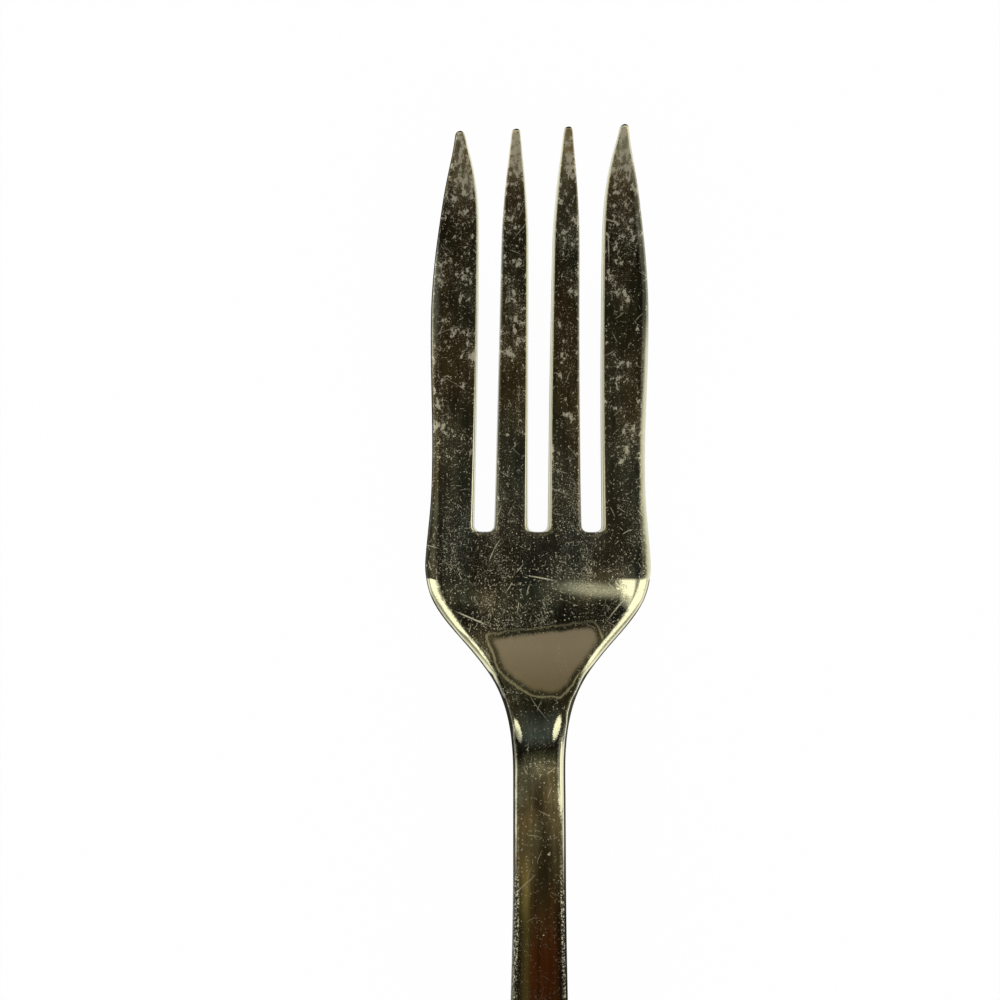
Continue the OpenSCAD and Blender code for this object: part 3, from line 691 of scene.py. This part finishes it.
# The table is a sheet of matte white paper, lit from all sides. It gives the eye an even white with almost
# no shadow, because nearly all of what the camera sees of it, and most of what the metal mirrors, is a glow.
TABLE_SIZE = 4000 * MM
PAPER_COLOUR = "F4F4F2"
GLOW_COLOUR = "FFFFFF"
GLOW_SHARE = 0.97
MIRRORED_GLOW = 0.7
table_shape = bmesh.new()
bmesh.ops.create_grid(table_shape, x_segments=1, y_segments=1, size=TABLE_SIZE / 2)
table_mesh = bpy.data.meshes.new("table")
table_shape.to_mesh(table_mesh)
table_shape.free()
table = bpy.data.objects.new("table", table_mesh)
scene.collection.objects.link(table)
paper = bpy.data.materials.new("white_paper")
paper.use_nodes = True
tree = paper.node_tree
tree.nodes.clear()
rays = add(tree, "ShaderNodeLightPath")
matte = add(tree, "ShaderNodeBsdfDiffuse", {"Color": linear(PAPER_COLOUR)})
bright = add(tree, "ShaderNodeEmission", {"Color": linear(GLOW_COLOUR), "Strength": 1.0})
share = add(tree, "ShaderNodeMath", {
    0: rays.outputs["Is Glossy Ray"], 1: MIRRORED_GLOW, 2: rays.outputs["Is Camera Ray"],
}, operation="MULTIPLY_ADD")
share = add(tree, "ShaderNodeMath", {0: share, 1: GLOW_SHARE}, operation="MULTIPLY")
mixed = add(tree, "ShaderNodeMixShader", {0: share, 1: matte, 2: bright})
add(tree, "ShaderNodeOutputMaterial", {"Surface": mixed})
table_mesh.materials.append(paper)

# The studio is a dim room, pale near the floor, with four soft windows that the metal mirrors. Each has its
# place and half its size in the sky in degrees from straight up, towards +X and +Y, and its turn. Dull
# things get a plain even light.
ROOM_COLOUR = "7C7C74"
LIGHT_COLOUR = "FFFDE4"
EVEN_COLOUR = "FFFFFF"
PALE_FROM = 62.0
HORIZON = 90.0
WINDOWS = [
    {"middle": (-32, 6), "size": (38, 13.5), "turn": 21, "strength": 1.3},
    {"middle": (38, 6), "size": (40, 12), "turn": -32, "strength": 1.3},
    {"middle": (0, 47), "size": (60, 5), "turn": 0, "strength": 1.2},
    {"middle": (48, 28), "size": (22, 14), "turn": -32, "strength": 1.2},
]
WINDOW_EDGE = (1.05, 0.85)

world = bpy.data.worlds.new("studio")
scene.world = world
world.use_nodes = True
tree = world.node_tree
tree.nodes.clear()
direction = add(tree, "ShaderNodeTexCoord")
axes = add(tree, "ShaderNodeSeparateXYZ", {0: direction.outputs["Generated"]})
fall = add(tree, "ShaderNodeMath", {0: axes.outputs["Z"]}, operation="ARCCOSINE")
spread = add(tree, "ShaderNodeMath", {0: fall}, operation="SINE")
spread = add(tree, "ShaderNodeMath", {0: fall, 1: spread}, operation="DIVIDE")
spread = add(tree, "ShaderNodeMath", {0: spread, 1: math.degrees(1)}, operation="MULTIPLY")
sky = add(tree, "ShaderNodeCombineXYZ", {"X": axes.outputs["X"], "Y": axes.outputs["Y"]})
sky = add(tree, "ShaderNodeVectorMath", {0: sky, "Scale": spread}, operation="SCALE")
low = add(tree, "ShaderNodeVectorMath", {0: sky}, operation="LENGTH")
low = add(tree, "ShaderNodeMapRange", {
    "Value": low.outputs["Value"], "From Min": PALE_FROM, "From Max": HORIZON,
}, interpolation_type="SMOOTHSTEP")
room = add(tree, "ShaderNodeMix", {
    0: low, 6: linear(ROOM_COLOUR), 7: linear(LIGHT_COLOUR),
}, data_type="RGBA").outputs[2]
for window in WINDOWS:
    far = oval(tree, sky, window["middle"], window["size"], window["turn"])
    lit = add(tree, "ShaderNodeMapRange", {
        "Value": far, "From Min": WINDOW_EDGE[0], "From Max": WINDOW_EDGE[1], "To Max": window["strength"],
    }, interpolation_type="SMOOTHSTEP")
    lit = add(tree, "ShaderNodeVectorMath", {0: linear(LIGHT_COLOUR)[:3], "Scale": lit}, operation="SCALE")
    room = add(tree, "ShaderNodeVectorMath", {0: room, 1: lit}, operation="MAXIMUM")
rays = add(tree, "ShaderNodeLightPath")
plain = add(tree, "ShaderNodeBackground", {"Color": linear(EVEN_COLOUR), "Strength": 1.0})
mirrored = add(tree, "ShaderNodeBackground", {"Color": room, "Strength": 1.0})
seen = add(tree, "ShaderNodeMixShader", {0: rays.outputs["Is Glossy Ray"], 1: plain, 2: mirrored})
add(tree, "ShaderNodeOutputWorld", {"Surface": seen})

# The camera looks straight down on the head from about a hand's length away, so that the handle leaves the
# picture. Its lens follows from how large the head, HEAD_HEIGHT above the table, is in the picture. Lengths
# are in millimetres and turns in degrees.
PICTURE_WIDTH_PX = 1000
PX_PER_MM = 8.76
SENSOR_WIDTH = 36
HEAD_HEIGHT = 3
CAMERA_PLACE = (-5.705, 55.432, 215)
CAMERA_TURN = (0.991, -0.359, 0.214)
CLIP_START = 5 * MM
lens = bpy.data.cameras.new("camera")
lens.sensor_width = SENSOR_WIDTH
lens.lens = SENSOR_WIDTH * PX_PER_MM * (CAMERA_PLACE[2] - HEAD_HEIGHT) / PICTURE_WIDTH_PX
lens.clip_start = CLIP_START
camera = bpy.data.objects.new("camera", lens)
camera.location = [distance * MM for distance in CAMERA_PLACE]
camera.rotation_euler = [math.radians(turn) for turn in CAMERA_TURN]
scene.collection.objects.link(camera)
scene.camera = camera
scene.view_settings.view_transform = "Standard"
